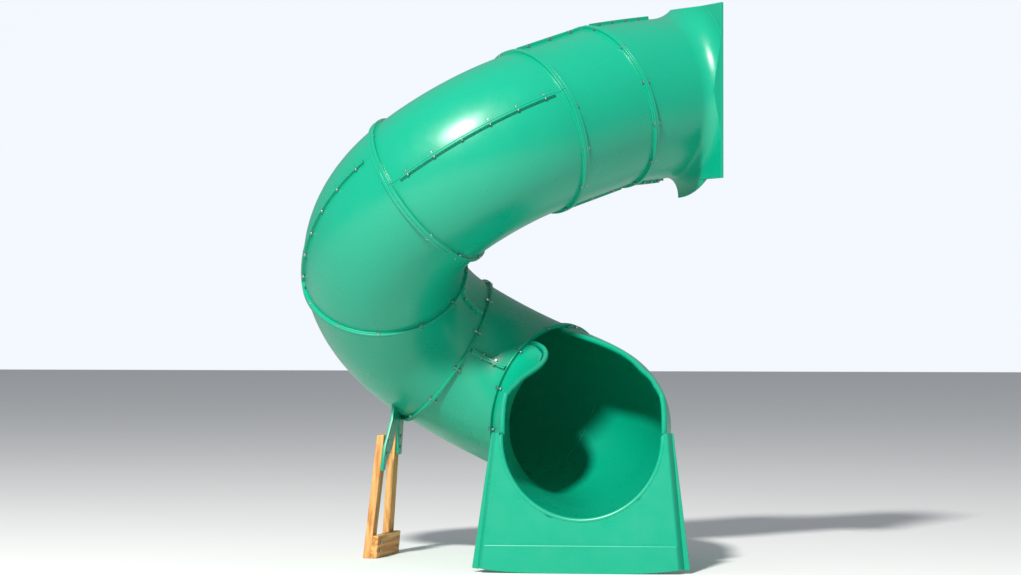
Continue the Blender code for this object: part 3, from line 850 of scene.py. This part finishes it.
def planedPine(name, lengthwise):
    # planed and oiled pine: growth bands stretched along the board, short darker fibres, matt
    material, tree, shader, where = newMaterial(name)
    turn = lengthwise.to_track_quat("Z", "Y").inverted().to_euler()
    laid = addNode(tree, "ShaderNodeMapping", {"Vector": where, "Rotation": turn})
    long = addNode(tree, "ShaderNodeMapping", {"Vector": laid.outputs["Vector"], "Scale": (1.0, 1.0, 0.07)})
    bands = addNode(tree, "ShaderNodeTexNoise", {"Vector": long.outputs["Vector"], "Scale": 0.35 / pine["ringWidth"],
                                                 "Detail": 3.0, "Distortion": 0.6})
    ramp = addNode(tree, "ShaderNodeMapRange", {"Value": bands.outputs["Fac"], "From Min": 0.38, "From Max": 0.62})
    colour = addNode(tree, "ShaderNodeMix", {"Factor": ramp.outputs["Result"], "A": linear(pine["early"]),
                                             "B": linear(pine["late"])}, data_type="RGBA")
    fibre = addNode(tree, "ShaderNodeTexNoise", {"Vector": long.outputs["Vector"], "Scale": 1 / pine["poreSize"],
                                                 "Detail": 4.0})
    dark = addNode(tree, "ShaderNodeMapRange", {"Value": fibre.outputs["Fac"], "From Min": 0.55, "From Max": 0.8,
                                                "To Min": 0.0, "To Max": 0.55})
    worn = addNode(tree, "ShaderNodeMix", {"Factor": dark.outputs["Result"], "A": colour.outputs["Result"],
                                           "B": linear(pine["weathered"])}, data_type="RGBA")
    tree.links.new(worn.outputs["Result"], shader.inputs["Base Color"])
    rough = addNode(tree, "ShaderNodeMapRange", {"Value": fibre.outputs["Fac"], "To Min": 0.55, "To Max": 0.8})
    tree.links.new(rough.outputs["Result"], shader.inputs["Roughness"])
    bump = addNode(tree, "ShaderNodeBump", {"Height": fibre.outputs["Fac"], "Strength": 0.4, "Distance": 0.0006})
    tree.links.new(bump.outputs["Normal"], shader.inputs["Normal"])
    return material


zinc = {"bright": "#C9CCCB", "dull": "#9EA3A4", "spangle": 0.002}


def zincSteel():
    # zinc-plated steel: bright with a slight cloud, dulled outdoors
    material, tree, shader, where = newMaterial("zinc-plated steel")
    cloud = addNode(tree, "ShaderNodeTexNoise", {"Vector": where, "Scale": 1 / zinc["spangle"], "Detail": 2.0})
    colour = addNode(tree, "ShaderNodeMix", {"Factor": cloud.outputs["Fac"], "A": linear(zinc["dull"]),
                                             "B": linear(zinc["bright"])}, data_type="RGBA")
    tree.links.new(colour.outputs["Result"], shader.inputs["Base Color"])
    rough = addNode(tree, "ShaderNodeMapRange", {"Value": cloud.outputs["Fac"], "To Min": 0.22, "To Max": 0.45})
    tree.links.new(rough.outputs["Result"], shader.inputs["Roughness"])
    bump = addNode(tree, "ShaderNodeBump", {"Height": cloud.outputs["Fac"], "Strength": 0.15, "Distance": 0.0001})
    tree.links.new(bump.outputs["Normal"], shader.inputs["Normal"])
    shader.inputs["Metallic"].default_value = 1.0
    return material


def dress(piece, material):
    piece.data.materials.clear()
    piece.data.materials.append(material)


green = rotomouldedHdpe()
steel = zincSteel()
boardLength = (mounts["leg_far_ground"] - mounts["leg_near_ground"]).normalized()
legPine = planedPine("pine, upright grain", up)
boardPine = planedPine("pine, level grain", boardLength)
for piece, node in greenPieces:
    dress(piece, green)
    stand(piece, "green_plastic", node)
for piece, node in timber:
    dress(piece, boardPine if node == "base_board" else legPine)
    stand(piece, "pine", node)
for piece, nodes in boltPieces:
    dress(piece, steel)
    stand(piece, "zinc_steel", *nodes)
print("materials given to", len(pieces), "pieces")


# ---- floor, light and camera
studio = {"floorSize": 80.0, "floorColour": "#EDEFEF", "skyColour": "#F4F8FF", "skyLight": 0.36,
          "keyAzimuth": -13.0, "keyHeight": 40.0, "keyDistance": 14.0, "keySize": 1.3, "keyPower": 2700.0}
view = {"place": (1.6861, -11.1843, 0.9376), "yaw": 8.6, "rise": 0.597, "lens": 102.97, "sensor": 36.0}


def makeStudio():
    scene = bpy.context.scene
    bpy.ops.object.select_all(action="DESELECT")
    bpy.ops.mesh.primitive_plane_add(size=studio["floorSize"])
    floor = settle(bpy.context.object, "floor")
    material, tree, shader, where = newMaterial("pale studio floor")
    cloud = addNode(tree, "ShaderNodeTexNoise", {"Vector": where, "Scale": 0.8})
    colour = addNode(tree, "ShaderNodeMix", {"Factor": cloud.outputs["Fac"], "A": linear("#E9EBEB"),
                                             "B": linear(studio["floorColour"])}, data_type="RGBA")
    tree.links.new(colour.outputs["Result"], shader.inputs["Base Color"])
    shader.inputs["Roughness"].default_value = 0.9
    dress(floor, material)
    world = bpy.data.worlds.new("studio")
    scene.world = world
    world.use_nodes = True
    tree = world.node_tree
    background = tree.nodes["Background"]
    background.inputs["Color"].default_value = linear(studio["skyColour"])
    seen = addNode(tree, "ShaderNodeLightPath").outputs["Is Camera Ray"]
    strength = addNode(tree, "ShaderNodeMapRange", {"Value": seen, "To Min": studio["skyLight"], "To Max": 1.0})
    tree.links.new(strength.outputs["Result"], background.inputs["Strength"])
    azimuth, height = math.radians(studio["keyAzimuth"]), math.radians(studio["keyHeight"])
    away = Vector((math.sin(azimuth) * math.cos(height), -math.cos(azimuth) * math.cos(height), math.sin(height)))
    aim = (cadLow + cadHigh) / 2
    bpy.ops.object.light_add(type="AREA", location=aim + away * studio["keyDistance"],
                             rotation=away.to_track_quat("Z", "Y").to_euler())
    key = bpy.context.object
    key.name = "keyLight"
    key.data.shape = "DISK"
    key.data.size = studio["keySize"]
    key.data.energy = studio["keyPower"]
    key.data.color = (1.0, 0.97, 0.93)
    yaw, rise = math.radians(view["yaw"]), math.radians(view["rise"])
    look = Vector((-math.sin(yaw) * math.cos(rise), math.cos(yaw) * math.cos(rise), math.sin(rise)))
    bpy.ops.object.camera_add(location=view["place"], rotation=look.to_track_quat("-Z", "Y").to_euler())
    camera = bpy.context.object
    camera.data.lens = view["lens"]
    camera.data.sensor_width = view["sensor"]
    camera.data.clip_end = 200.0
    scene.camera = camera
    scene.view_settings.view_transform = "Standard"


makeStudio()
print("stage set")
